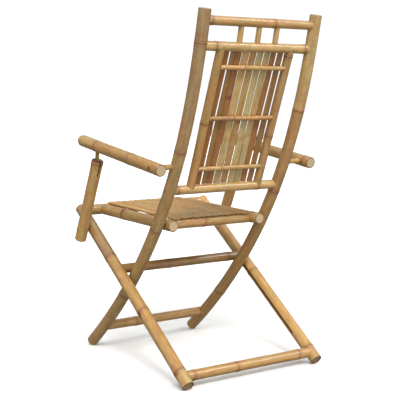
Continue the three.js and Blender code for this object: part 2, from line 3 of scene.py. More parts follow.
import bmesh
import bpy
import numpy as np
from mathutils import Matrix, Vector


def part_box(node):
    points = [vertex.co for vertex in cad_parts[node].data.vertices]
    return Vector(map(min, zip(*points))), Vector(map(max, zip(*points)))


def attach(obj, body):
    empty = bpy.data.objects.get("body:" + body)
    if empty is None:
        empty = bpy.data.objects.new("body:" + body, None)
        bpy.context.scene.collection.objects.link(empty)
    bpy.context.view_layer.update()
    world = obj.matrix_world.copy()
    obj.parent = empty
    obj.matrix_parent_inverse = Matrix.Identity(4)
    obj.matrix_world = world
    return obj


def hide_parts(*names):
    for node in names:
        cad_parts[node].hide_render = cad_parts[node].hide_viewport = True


# A folding armchair of bent and straight bamboo culms, with a slatted back and seat.
# Lengths are millimetres until a mesh is written in metres.
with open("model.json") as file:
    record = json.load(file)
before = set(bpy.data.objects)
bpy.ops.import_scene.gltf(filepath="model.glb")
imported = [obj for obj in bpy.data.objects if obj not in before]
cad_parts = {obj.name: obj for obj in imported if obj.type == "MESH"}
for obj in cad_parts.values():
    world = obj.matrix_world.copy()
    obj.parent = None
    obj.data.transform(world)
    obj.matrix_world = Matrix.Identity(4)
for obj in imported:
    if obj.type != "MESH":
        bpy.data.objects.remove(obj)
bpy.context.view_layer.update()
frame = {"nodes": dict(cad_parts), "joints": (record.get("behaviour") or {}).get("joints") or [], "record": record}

MM = 0.001
TURN = 2 * np.pi
SIDES = {"left": 1, "right": -1}
UP = np.array([0.0, 0.0, 1.0])
ACROSS = np.array([1.0, 0.0, 0.0])
REARWARDS = np.array([0.0, 1.0, 0.0])

# Clearances, eased edges, and how far a node's ridge stands up in the CAD solids
GAP = 0.3
EASE = 1.0
NODE_RISE = 0.9

# The bent posts
FOOT_LEAN = np.radians(51)
HEAD_LEAN = np.radians(12)
BEND_HANDLE_SHARES = (0.516, 0.214)
FOOT_RECESS = 2.3
FOOT_RIM_SHARE = 0.83

# Base tones of the bamboo
TONES = {
    "bark": "#8b6b42", "drab": "#8f724d", "dun": "#977a51", "tan": "#9b784c", "ochre": "#a27e4c",
    "gold": "#a68352", "honey": "#b08b57", "hay": "#a98b5b", "straw": "#b09262", "pale": "#bd9766",
    "sand": "#a58c60", "reed": "#aa976d", "cream": "#a6946f", "bronze": "#86653a",
    "russet": "#8a5d2e", "chestnut": "#835323", "pin_wood": "#6d5a36",
}

# The slots in the poles, and how far they run past the slide pin when the chair stands and when
# it is folded
SLOT_WIDTH = 9
SLOT_DEPTH = 8
SLOT_LEAD = 13
SLOT_SPARE = 34

# Arms
ARM_SLOPE = np.radians(8.4)
ARM_DOME = 14
STRAP_WIDTH = 19
STRAP_THICKNESS = 3
FORK_SLOT_WIDTH = 4
FORK_SLOT_DEPTH = 44
PIN_RADIUS = 4
TENON_RADIUS = 4.8
FRONT_TENON_RADIUS = 6.0
HEAD_PROUD = 0.6
NAIL_INSET = 4

# Slats
SLAT_THICKNESS = 3.9
SLAT_CROWN = 0.8
CAD_BACK_GAP = 5.0
BACK_SLAT_DROP = 1.2
EDGE_SLAT_WIDER = 6.4
EDGE_SLAT_DEEPER = 2.4
SLAT_ENDS_UNEVEN = 1.6

# How finely the skins are drawn
COLUMNS = 44
STILE_COLUMNS = 36
THIN_COLUMNS = 28
ROW_STEP = 7
SLAT_COLUMNS = 28
SLAT_ROW_STEP = 9
ROW_CLEARANCE = 1.2
CREASE = np.radians(40)

# Rows across a bamboo node, as distances from its scar, and how far off a node is still felt
NODE_ROWS = np.array([-16, -12, -9, -6.5, -4.5, -3.2, -2.4, -1.7, -1.1, -0.6, -0.25, 0, 0.25, 0.6,
                      1.1, 1.7, 2.3, 2.9, 3.6, 4.5, 6, 8, 11, 15])
NODE_REACH = 60.0

# A node's height, place and width: a low swelling, a sharp scar on it, a fine groove above the scar
NODE_PARTS = ((0.34, 0, 9), (0.52, 0, 0.9), (-0.32, 2.4, 0.9))

# How the grain pattern is moved from piece to piece, by each piece's own seed number, and half
# widths in degrees of stains that run all round a culm, and of the stains and painted shadow that
# run across a slat
GRAIN_SHIFT = np.array([37.0, 91.0, 530.0])
ALL_ROUND = 4000
OVER_SLAT = 400

# Each culm from its foot, its rear or its left: its nodes as shares of its length, the tone of each
# stretch between them (the last one to the end), and its stains as (place, angle in degrees, half
# length, half width in degrees, strength)
CULMS = {
    "post_left": ((0.227, 0.456, 0.671, 0.925), "dun dun dun drab", (1098, 0, 20, 200, 0.45)),
    "post_right": ((0.183, 0.55, 0.77), "tan tan tan hay",
                   (650, 0, 13, ALL_ROUND, 0.42), (928, 0, 16, ALL_ROUND, 0.38)),
    "pole_left": ((0.313, 0.617, 0.931), "drab ochre ochre hay",
                  (430, 20, 14, 50, 0.9), (430, 180, 8, 90, 0.6), (650, 0, 10, 70, 0.6)),
    # Pole right's pale first stretch, from its front end to the first node, is painted light: lighter to make up
    # for the shadow that the seat throws on it
    "pole_right": ((0.485, 0.937), "pale honey gold", (657, 90, 7, 30, 1.0)),
    "armrest_left": ((0.345, 0.765), "ochre ochre gold"),
    "armrest_right": ((0.052,), "ochre gold"),
    "arm_support_left": ((0.976,), "gold russet"),
    "arm_support_right": ((0.62,), "gold"),
    "seat_rail_left": ((0.655,), "gold honey", (222, 90, 9, 110, 0.9)),
    "seat_rail_right": ((0.092,), "gold honey"),
    "seat_rear_rail": ((0.43,), "gold", (330, 0, 12, ALL_ROUND, 0.5)),
    "top_rail": ((0.058, 0.61), "gold", (22, 0, 8, ALL_ROUND, 0.25), (208, 0, 9, ALL_ROUND, 0.3)),
    "second_rail": ((0.12, 0.925), "straw"),
    "lower_back_rail": ((0.06, 0.80), "hay hay straw"),
    "foot_stretcher": ((0.3, 0.941), "ochre"),
    "middle_stretcher": ((0.384, 0.874), "bark"),
    "rear_stretcher": ((0.071, 0.392, 0.886), "gold ochre ochre gold", (27, 90, 5, 120, 0.8)),
    **{f"spindle_{number}": ((), "hay", (10, 0, 11, ALL_ROUND, 0.35)) for number in (1, 2, 3)},
    "back_stile_left": ((0.475,), "ochre"),
    "back_stile_right": ((0.376, 0.947), "tan"),
    "back_bar_1": ((0.365,), "hay gold"),
    "back_bar_2": ((0.385,), "tan ochre"),
    "back_bar_3": ((0.375,), "pale honey"),
}

# Back slats from the sitter's left: a tone below and one above the node, the node's place as a
# share of the length, the gap on the right, and darker reddish patches as (place, half length,
# strength). The patches at 0.43 to 0.48 of the length, on slats 5, 7, 8 and 9, are painted shadow
# that the middle bar throws on the slats below it; the one on slat 3 is a stain.
BACK_SLATS = (
    ("chestnut", 0.40, 5.2), ("bronze", 0.365, 1.2), ("russet", 0.385, 2.4, (0.66, 0.02, 0.9)),
    ("sand straw", 0.35, 2.6), ("tan ochre", 0.375, 3.4, (0.48, 0.015, 0.7)),
    ("reed", 0.345, 3.2), ("cream sand", 0.365, 2.0, (0.43, 0.03, 0.35)),
    ("russet", 0.335, 5.4, (0.44, 0.05, 0.5)), ("bronze", 0.35, 5.8, (0.43, 0.06, 0.5)),
)
SEAT_TONES = "pale honey straw straw honey straw sand honey honey honey gold gold".split()


# Reading the frame

def corners(node):
    """The corners of a CAD node's solid, in millimetres."""
    vertices = frame["nodes"][node].data.vertices
    places = np.empty(3 * len(vertices))
    vertices.foreach_get("co", places)
    return places.reshape(-1, 3) / MM


def box(node):
    """The low and the high corner of a CAD node's box."""
    return np.array(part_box(node)) / MM


def middle(node):
    """The centre of a CAD node's box."""
    low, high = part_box(node)
    return np.array((low + high) / 2) / MM


def radius_of(node, ridge=NODE_RISE, axis=2):
    """The radius of a rail along X, from its box's height, or with axis 0 that of a straight culm
    in a plane x = constant, from its box's width."""
    low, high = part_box(node)
    return (high[axis] - low[axis]) / 2 / MM - ridge


def joint(name):
    return next(entry for entry in frame["joints"] if entry["name"] == name)


def pivot(name):
    return np.array(joint(name)["pos_m"]) / MM


def unit(vector):
    vector = np.asarray(vector, float)
    return vector / np.linalg.norm(vector, axis=-1, keepdims=True)


def span(node, origin, direction):
    """How far a CAD node reaches from `origin` along `direction`, both ways."""
    reach = (corners(node) - origin) @ unit(direction)
    return reach.min(), reach.max()


def in_plane(point, x):
    """The same point in the plane at x."""
    return np.array([x, point[1], point[2]])


# Axes: each gives, for places along it, the point on it and its two cross directions

def straight(start, direction, side=ACROSS):
    """A straight line from `start`. Its cross directions are `side` and direction x side."""
    heading = unit(direction)
    side = unit(side - heading * (side @ heading))
    other = np.cross(heading, side)

    def line(along):
        return start + heading * np.asarray(along)[..., None], side, other
    return line


def bent(foot, head):
    """The cubic curve from foot to head that leaves the foot and meets the head at their leans,
    measured along its own run. Its cross directions are X and heading x X."""
    reach = np.linalg.norm(head - foot)
    leaving = np.array([0, np.sin(FOOT_LEAN), np.cos(FOOT_LEAN)]) * BEND_HANDLE_SHARES[0] * reach
    arriving = np.array([0, np.sin(HEAD_LEAN), np.cos(HEAD_LEAN)]) * BEND_HANDLE_SHARES[1] * reach
    t = np.linspace(0, 1, 3001)[:, None]
    curve = ((1 - t) ** 3 * foot + 3 * t * (1 - t) ** 2 * (foot + leaving)
             + 3 * t ** 2 * (1 - t) * (head - arriving) + t ** 3 * head)
    steps = np.linalg.norm(np.diff(curve, axis=0), axis=1)
    run = np.concatenate(([0.0], np.cumsum(steps)))
    headings = unit(np.gradient(curve, axis=0))

    def follow(along, table):
        return np.stack([np.interp(along, run, table[:, k]) for k in range(3)], axis=-1)

    def line(along):
        heading = unit(follow(along, headings))
        side = np.broadcast_to(ACROSS, heading.shape)
        return follow(along, curve), side, np.cross(heading, side)
    return line, run[-1], curve, headings


def coped(origin, side, other, culm_point, culm_direction, culm_radius):
    """How far in an end is cut so that it fits round another culm. With w the distance of a point
    of the section from the plane of that culm's axis, the cut lies sqrt(r^2 - w^2) before the
    axis."""
    normal = unit(np.cross(ACROSS, culm_direction))
    offset = (origin - culm_point) @ normal
    reach = culm_radius + GAP

    def inset(x, y):
        w = offset + x * (side @ normal) + y * (other @ normal)
        return np.sqrt(np.maximum(reach ** 2 - w ** 2, 0.01))
    return inset


def coped_on_rail(rail, ridge=NODE_RISE):
    """The same cut for a culm that runs square to a rail along X and meets its axis: w is y."""
    reach = radius_of(rail, ridge) + GAP
    return lambda x, y: np.sqrt(np.maximum(reach ** 2 - y ** 2, 0.01)) + 0 * x


def square(x, y):
    """No cut: the end is square to the axis."""
    return 0 * x


# Ends of culms: how far in the last skin row lies, then rows of (share of the radius, distance in
# from it, distance in along the culm, how far the wood is cut there), then how far in the middle
# point lies. Cut 0 is skin, 0.5 the dark rim of the rind, and 1 the pith.
SAWN, WORN = ((EASE, [(1, EASE, 0, 0.5), (0.9, 0, 0, rim),
                      *[(share, 0, 0, inner) for share in (0.8, 0.5, 0.2)]], 0)
              for rim, inner in ((0.55, 1), (0.5, 0.6)))
FLUSH = (0, [(0.85, 0, 0, 1), (0.5, 0, 0, 1), (0.2, 0, 0, 1)], 0)
PLUGGED = (EASE, [(1, EASE, 0, 0.5), (FOOT_RIM_SHARE + 0.02, 0, 0, 0.8),
                  (FOOT_RIM_SHARE, 0, 0.5, 0.5),
                  (FOOT_RIM_SHARE - 0.02, 0, FOOT_RECESS, 0.5), (0.7, 0, FOOT_RECESS + 0.2, 0.85)],
           FOOT_RECESS)
DOME_ANGLES = np.radians([12, 24, 36, 48, 59, 69, 78, 84])
DOMED = (ARM_DOME, [(np.cos(a), 0, ARM_DOME * (1 - np.sin(a)), 0) for a in DOME_ANGLES], 0)


def rows_between(length, nodes, step):
    """Places along a culm, `step` apart, and closer together at each node."""
    plain = np.linspace(0, length, max(int(length / step), 6) + 1)
    near = (np.asarray(nodes).reshape(-1, 1) + NODE_ROWS).ravel()
    near = near[(near > 1) & (near < length - 1)]
    if near.size == 0:
        return plain
    apart = np.abs(plain[:, None] - near).min(axis=1) > ROW_CLEARANCE
    apart[[0, -1]] = True
    return np.sort(np.concatenate((plain[apart], near)))


def from_nodes(along, nodes):
    """The signed distance from each place to its nearest node, capped."""
    if len(nodes) == 0:
        return np.full(np.shape(along), NODE_REACH)
    gaps = np.asarray(along)[..., None] - np.asarray(nodes)
    nearest = np.take_along_axis(gaps, np.abs(gaps).argmin(axis=-1)[..., None], axis=-1)[..., 0]
    return np.clip(nearest, -NODE_REACH, NODE_REACH)


def node_swell(distance):
    """How far a node stands up at a distance d from its scar: the sum over its parts of height h,
    place c and width w of h exp(-((d - c) / w)^2)."""
    return sum(h * np.exp(-((distance - c) / w) ** 2) for h, c, w in NODE_PARTS)


def culm_radius_at(along, angle, radius, nodes, seed):
    """The culm's radius: 0.10 mm out of round, 0.22 mm slimmer between nodes than at them, with
    waves of 0.06 mm along it, and with the nodes' rise."""
    distance = from_nodes(along, nodes)
    oval = 0.10 * np.cos(2 * angle + seed)
    slim = -0.22 * (1 - np.exp(-(distance / 26) ** 2))
    waves = 0.06 * np.sin(along / 37 + 2.1 * seed + np.sin(angle))
    return radius + oval + slim + waves + node_swell(distance)


def colour(code):
    """An sRGB hex colour as linear values, opaque."""
    parts = np.array([int(code[i:i + 2], 16) for i in (1, 3, 5)]) / 255
    return (*np.where(parts <= 0.04045, parts / 12.92, ((parts + 0.055) / 1.055) ** 2.4), 1.0)


def tones_along(along, nodes, tones):
    """The colour of each stretch between nodes, which changes over within 2 mm of the node."""
    colours = np.array([colour(TONES[tone]) for tone in tones.split()])
    if len(colours) == 1:
        return np.broadcast_to(colours[0], np.shape(along) + (4,))
    edges = np.sort(np.asarray(nodes))[:len(colours) - 1]
    stops = np.concatenate([[edge - 1, edge + 1] for edge in edges])
    steps = np.repeat(colours, 2, axis=0)[1:-1]
    return np.stack([np.interp(along, stops, steps[:, k]) for k in range(4)], axis=-1)


def stain_and_shadow_at(along, angle, stains_and_shadow):
    """Reddish stains, and on the back slats the painted shadow of the middle bar: each a soft blot
    exp(-(ds/a)^2 - (da/b)^2) times its strength, given as (place, angle in degrees, half length a,
    half width b in degrees, strength)."""
    total = np.zeros(np.broadcast(along, angle).shape)
    for place, at_degrees, half_length, half_degrees, strength in stains_and_shadow:
        turn = (angle - np.radians(at_degrees) + np.pi) % TURN - np.pi
        blot = ((along - place) / half_length) ** 2 + (turn / np.radians(half_degrees)) ** 2
        total = total + strength * np.exp(-blot)
    return total


# Meshes

def put(name, data):
    """An object of some data, in the scene."""
    thing = bpy.data.objects.new(name, data)
    bpy.context.scene.collection.objects.link(thing)
    return thing


def write_mesh(name, places, faces, layers):
    """A mesh in metres from places in millimetres, with its named point layers."""
    mesh = bpy.data.meshes.new(name)
    mesh.from_pydata(places * MM, [], faces)
    for layer, values in layers.items():
        kind, field = ("FLOAT_COLOR", "color") if layer == "tone" else ("FLOAT_VECTOR", "vector")
        attribute = mesh.attributes.new(layer, kind, "POINT")
        attribute.data.foreach_set(field, np.ascontiguousarray(values, np.float32).ravel())
    mesh.update()
    return mesh


def grid_faces(rows, columns):
    """Quads of a grid closed round its columns, and a fan to a point at each end: the points
    after the grid are the low pole and the high pole."""
    ring, top, pole = np.arange(columns), (rows - 1) * columns, rows * columns
    after = (ring + 1) % columns
    base = columns * np.arange(rows - 1)[:, None]
    quads = np.stack([base + ring, base + after, base + columns + after, base + columns + ring], -1)
    low_fan = np.stack([0 * ring + pole, after, ring], -1)
    high_fan = np.stack([0 * ring + pole + 1, top + ring, top + after], -1)
    return [*quads.reshape(-1, 4).tolist(), *low_fan.tolist(), *high_fan.tolist()]


def swept(line, x, y, along, poles):
    """A closed surface whose row i has the section (x, y) across the line at the place along it.
    Each end closes in a pole (x, y, along)."""
    rows, columns = x.shape
    x, y, along = (np.concatenate((grid.ravel(), ends))
                   for grid, ends in zip((x, y, along), np.array(poles).T))
    centre, side, other = line(along)
    return centre + x[:, None] * side + y[:, None] * other, grid_faces(rows, columns), {}


def skinned(line, start, x, y, along, cut, poles, nodes, tones, stains_and_shadow, seed):
    """A swept surface of bamboo with the point layers that its material reads: the place in the
    wood, the marks (distance from a node, stain and painted shadow, cut face) and the tone."""
    poles = np.array(poles, float)
    places, faces, _ = swept(line, x, y, along + start, poles[:, :3] + (0, 0, start))
    x, y, along, cut = (np.concatenate((grid.ravel(), ends))
                        for grid, ends in zip((x, y, along, cut), poles.T))
    stain_and_shadow = stain_and_shadow_at(along + start, np.arctan2(y, x), stains_and_shadow)
    return places, faces, {
        "grain": np.column_stack((x, y, along)) + GRAIN_SHIFT * (1 + seed),
        "marks": np.column_stack((np.abs(from_nodes(along, nodes)), stain_and_shadow, cut)),
        "tone": tones_along(along, nodes, tones),
    }


def end_rows(x, y, rows, centre_x, cope):
    """The rows that close an end: its section drawn in towards its middle, with how far in along
    the culm each row lies and how far it is cut."""
    spread = np.hypot(x - centre_x, y)
    scales = np.array([np.maximum(spread * share - inward, 0.2) / spread
                       for share, inward, _, _ in rows])
    x, y = centre_x + (x - centre_x) * scales, y * scales
    return x, y, cope(x, y) + [[row[2]] for row in rows], 0 * x + [[row[3]] for row in rows]


def with_ends(x, y, along, cut, low, high, start, end, centre_x=0.0, low_cope=square,
              high_cope=square):
    """The rows of a section carried along, with the rows that close its two ends."""
    low_x, low_y, low_in, low_cut = end_rows(x[0], y[0], low[1], centre_x, low_cope)
    high_x, high_y, high_in, high_cut = end_rows(x[-1], y[-1], high[1], centre_x, high_cope)
    along = np.broadcast_to(along, x.shape)
    return (np.concatenate((low_x[::-1], x, high_x)), np.concatenate((low_y[::-1], y, high_y)),
            np.concatenate((start + low_in[::-1], along, end - high_in)),
            np.concatenate((low_cut[::-1], cut, high_cut)))


def join_surfaces(surfaces):
    """Several closed surfaces as one list of points, faces and layers."""
    places, faces, layers = zip(*surfaces)
    firsts = np.cumsum([0] + [len(part) for part in places]).tolist()
    faces = [[index + first for index in face]
             for part, first in zip(faces, firsts) for face in part]
    layers = {layer: np.concatenate([part[layer] for part in layers]) for layer in layers[0]}
    return np.concatenate(places), faces, layers


def add_piece(name, surface, skin, body, *nodes, merge=False):
    """A finished piece: its mesh, its creases, its skin (a material, and the slot it stands for,
    which is not used), the body it rides on and the CAD nodes that it replaces."""
    mesh = write_mesh(name, *surface)
    if merge:
        merge_doubles(mesh)
    mesh.shade_smooth()
    mesh.set_sharp_from_angle(angle=CREASE)
    material, slot = skin
    mesh.materials.append(material)
    piece = put(name, mesh)
    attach(piece, body)
    if nodes:
        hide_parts(*nodes)


def merge_doubles(mesh):
    """Welds points that lie within a hundredth of a millimetre."""
    work = bmesh.new()
    work.from_mesh(mesh)
    bmesh.ops.remove_doubles(work, verts=work.verts, dist=0.01 * MM)
    work.to_mesh(mesh)
    work.free()


# Culms

def culm(line, start, end, radius, seed, low=None, high=None, low_cope=square, high_cope=square,
         nodes=(), tones="gold", stains_and_shadow=(), columns=COLUMNS):
    """The skin of a round culm. Round its axis at angle a and place s along it, a point lies at
    axis(s) + r(s, a) (cos a side + sin a other). Both ends are closed by rows that shrink to a
    point, and near a coped end the rows are pressed up to its cut. Where no end is named, it is
    sawn, or flush if it is coped."""
    length = end - start
    low = low or (SAWN if low_cope is square else FLUSH)
    high = high or (SAWN if high_cope is square else FLUSH)
    stains_and_shadow = [*stains_and_shadow, *[(place, 0, 4, ALL_ROUND, 0.35)
                         for place, rows in ((start, low), (end, high)) if rows is SAWN]]
    angle = TURN * np.arange(columns) / columns
    around = (radius * np.cos(angle), radius * np.sin(angle))
    first = low_cope(*around) + low[0]
    last = length - high_cope(*around) - high[0]
    zone = min(1.2 * radius, 0.25 * (last.min() - first.max()))
    low_zone, high_zone = first.max() + zone, last.min() - zone
    plain = rows_between(length, nodes, ROW_STEP)[:, None]
    along = np.where(plain < low_zone, first + plain * (low_zone - first) / low_zone, plain)
    after = high_zone + (plain - high_zone) * (last - high_zone) / (length - high_zone)
    along = np.where(plain > high_zone, after, along)
    reach = culm_radius_at(along, angle + 0 * along, radius, nodes, seed)
    x, y, along, cut = with_ends(reach * np.cos(angle), reach * np.sin(angle), along, 0 * along,
                                 low, high, 0, length, 0, low_cope, high_cope)
    poles = ((0, 0, float(low_cope(0.0, 0.0)) + low[2], low[1][-1][3]),
             (0, 0, length - float(high_cope(0.0, 0.0)) - high[2], high[1][-1][3]))
    return skinned(line, start, x, y, along, cut, poles, nodes, tones, stains_and_shadow, seed)


def slotted_culm(line, start, end, radius, seed, slot_low, slot_high, facing, nodes, tones, stains_and_shadow):
    """A pole with a blind slot in the side that `facing` (+1 or -1 along X) names. The arc of each
    section runs from asin(w / r) to the same angle on the other side, where w is half the slot's
    width there, and goes on down one wall, over the floor and up the other wall."""
    length = end - start
    half = SLOT_WIDTH / 2
    plain = rows_between(length, nodes, ROW_STEP)
    bends = half * np.sin(np.linspace(0, np.pi / 2, 7))
    slot_rows = np.concatenate((slot_low - bends, slot_high + bends,
                                [slot_low - half - 0.01, slot_high + half + 0.01])) - start
    plain = plain[np.abs(plain[:, None] - slot_rows).min(axis=1) > 0.8]
    along = np.sort(np.concatenate((plain[1:-1], slot_rows, [EASE, length - EASE])))
    beyond = np.maximum(np.maximum(slot_low - start - along, along - (slot_high - start)), 0)
    width = np.sqrt(np.maximum(half ** 2 - beyond ** 2, 0))
    width[beyond > half] = 0
    edge = np.arcsin(width / radius)[:, None]
    angle = edge + (TURN - 2 * edge) * np.linspace(0, 1, COLUMNS)
    turn = 0.0 if facing > 0 else np.pi
    reach = culm_radius_at(along[:, None], angle + turn, radius, nodes, seed)
    x_arc, y_arc = reach * np.cos(angle), reach * np.sin(angle)
    open_ = (width > 0)[:, None]
    wall, flat = np.linspace(0, 1, 5)[1:], np.linspace(0, 1, 6)[1:]
    near_x, near_y, far_x, far_y = x_arc[:, -1:], y_arc[:, -1:], x_arc[:, :1], y_arc[:, :1]
    floor_x = np.where(open_, radius - SLOT_DEPTH, near_x)
    x = np.concatenate((x_arc, near_x + (floor_x - near_x) * wall, floor_x + 0 * flat,
                        floor_x + (far_x - floor_x) * wall[:-1]), axis=1)
    y = np.concatenate((y_arc, near_y + 0 * wall, near_y + (far_y - near_y) * flat,
                        far_y + 0 * wall[:-1]), axis=1)
    depth = np.zeros_like(x)
    depth[:, COLUMNS:] = 0.7 * open_
    x, y, s, cut = with_ends(x, y, along[:, None], depth, SAWN, PLUGGED, 0, length)
    poles = ((0, 0, 0, 1), (0, 0, length - PLUGGED[2], 0.75))
    return skinned(line, start, x * facing, y * facing, s, cut, poles, nodes, tones, stains_and_shadow, seed)


def prong(line, start, floor, end, radius, sign, seed, nodes, tones, stains_and_shadow):
    """One side of a forked head: the part of a culm's section beyond half the fork's slot. With b
    the angle whose sine is half the slot over the radius, its arc runs from b - 90 to 90 - b
    degrees, and a straight wall closes it."""
    half = FORK_SLOT_WIDTH / 2
    limit = np.pi / 2 - np.arcsin(half / radius)
    angle = np.linspace(-limit, limit, 29)
    along = np.linspace(floor - start, end - start - EASE, 9)[:, None]
    reach = culm_radius_at(along, angle if sign > 0 else angle + np.pi, radius, nodes, seed)
    wall_y = np.linspace(1, -1, 9)[1:-1] * reach[:, -1:] * np.sin(limit)
    x = np.concatenate((reach * np.cos(angle), np.full_like(wall_y, half)), axis=1)
    y = np.concatenate((reach * np.sin(angle), wall_y), axis=1)
    centre_x = 0.45 * radius
    wall = np.zeros_like(x)
    wall[:, len(angle):] = 0.7
    x, y, s, cut = with_ends(x, y, along, wall, FLUSH, WORN, floor - start, end - start, centre_x)
    poles = ((sign * centre_x, 0, floor - start, 1), (sign * centre_x, 0, end - start, 1))
    return skinned(line, start, sign * x, sign * y, s, cut, poles, nodes, tones, stains_and_shadow, seed)


# Slats

def squared(wave, power):
    """A wave between -1 and 1 pressed towards its ends: sgn(v) |v|^p."""
    return np.sign(wave) * np.abs(wave) ** power


def slat(line, start, end, width, thickness, nodes, tones, seed, stains_and_shadow=(), node_wider=0.0):
    """A flat strip split from a culm. Its section is the rounded rectangle x = w/2 sgn(cos a)
    |cos a|^(1/4), y = t/2 sgn(sin a) |sin a|^(1/4), whose upper skin falls by crown (2x/w)^2 to
    its edges. Its split edges waver a little, and it widens at its node."""
    length = end - start
    along = rows_between(length, nodes, SLAT_ROW_STEP)
    along[0], along[-1] = 0.5, length - 0.5
    angle = TURN * (np.arange(SLAT_COLUMNS) + 0.5) / SLAT_COLUMNS
    section_x, section_y = 0.5 * squared(np.cos(angle), 0.25), 0.5 * squared(np.sin(angle), 0.25)
    wide = width + 0.16 * np.sin(along / 41 + 3 * seed)
    wide = wide + node_wider * np.exp(-(from_nodes(along, nodes) / 14) ** 2)
    thick = thickness + 0.35 * node_swell(from_nodes(along, nodes))
    drift = 0.22 * np.sin(along / 67 + 5 * seed) + 0.10 * np.sin(along / 23 + seed)
    scale = np.concatenate(([0.35, 0.8, 0.94], np.ones(len(along)), [0.94, 0.8, 0.35]))[:, None]
    along = np.concatenate(([0, 0, 0.12], along, [length - 0.12, length, length]))[:, None]
    wide, thick, drift = (np.pad(v[:, None], ((3, 3), (0, 0)), mode="edge")
                          for v in (wide, thick, drift))
    x = section_x * wide * scale + drift
    top = np.maximum(section_y, 0) * 2
    y = thick * (0.5 + section_y * scale) - top * SLAT_CROWN * (2 * section_x) ** 2
    split = np.clip((np.abs(section_x) - 0.47) / 0.02, 0, 1) * 0.14
    cut = np.maximum(split, (scale < 1) * 0.8)
    poles = ((drift[0, 0], thickness / 2, 0, 0.8), (drift[-1, 0], thickness / 2, length, 0.8))
    return skinned(line, start, x, y, along + 0 * x, cut, poles, nodes, tones, stains_and_shadow, seed)


# Metal fittings

def turned(line, profile, columns=24):
    """A round metal shape: a profile of (radius, place along the axis) carried round it."""
    radii, along = np.array(profile, float).T
    angle = TURN * np.arange(columns) / columns
    x, y = radii[:, None] * np.cos(angle), radii[:, None] * np.sin(angle)
    return swept(line, x, y, along[:, None] + 0 * x, ((0, 0, along[0]), (0, 0, along[-1])))


def pin(place, sign, start, end, radius=PIN_RADIUS):
    """A turned pin along X through a place, from one distance outwards to another, with a low
    domed head at both ends, a little wider than its shank."""
    head = np.array([(0.35, 0), (0.7, 0.12), (0.93, 0.38), (1.06, 0.8), (1.08, 1.2), (1.0, 1.4)])
    low, high = head * (radius, 1) + (0, start), head * (radius, -1) + (0, end)
    return turned(straight(place, sign * ACROSS, UP), np.concatenate((low, high[::-1])))


def strap(line, length, width, thickness, columns=32):
    """A flat strip with eased edges and a half-round foot. Its section is the rounded rectangle
    x = w/2 sgn(cos a) |cos a|^(1/6), y = t/2 sgn(sin a) |sin a|^(1/3), and at height h above the
    foot's centre w/2 is narrowed to sqrt((w/2)^2 - h^2)."""
    foot = width / 2
    turn = np.linspace(0, 1.5, 10)
    along = np.concatenate((np.linspace(0, length - foot, 8)[:-1],
                            length - foot + foot * np.sin(turn)))
    below = np.maximum(along - (length - foot), 0)
    half = np.sqrt(foot ** 2 - below ** 2)[:, None]
    angle = TURN * (np.arange(columns) + 0.5) / columns
    x = half * squared(np.cos(angle), 1 / 6)
    y = thickness / 2 * squared(np.sin(angle), 1 / 3) + 0 * x
    return swept(line, x, y, along[:, None] + 0 * x, ((0, 0, 0), (0, 0, length)))


def nail(place, outwards):
    """A small round nail head, just proud of the culm."""
    profile = ((1.5, -1.2), (1.55, 0.05), (1.3, 0.3), (0.7, 0.48))
    side = unit(np.cross(outwards, (0.3, 0.5, 0.8)))
    return turned(straight(place, outwards, side), profile, columns=10)


# Materials

def add(tree, kind, settings, inputs, output=0):
    """Adds a shader node of a kind, with its settings, and its inputs, named or in their order, set
    to values or linked. Gives the output asked for."""
    node = tree.nodes.new("ShaderNode" + kind)
    for setting, value in settings.items():
        setattr(node, setting, value)
    for socket, value in inputs.items() if isinstance(inputs, dict) else enumerate(inputs):
        if isinstance(value, bpy.types.NodeSocket):
            tree.links.new(value, node.inputs[socket])
        else:
            node.inputs[socket].default_value = value
    return node.outputs[output] if node.outputs else None


def bare_material(name):
    """A material with an empty node tree."""
    material = bpy.data.materials.new(name)
    material.use_nodes = True
    material.node_tree.nodes.clear()
    return material, material.node_tree


# Settings that many nodes share
BLEND = {"data_type": "RGBA"}
MULTIPLY = {"data_type": "RGBA", "blend_type": "MULTIPLY"}
SCALE_AND_ADD = {"operation": "MULTIPLY_ADD"}
SMOOTH = {"interpolation_type": "SMOOTHSTEP"}


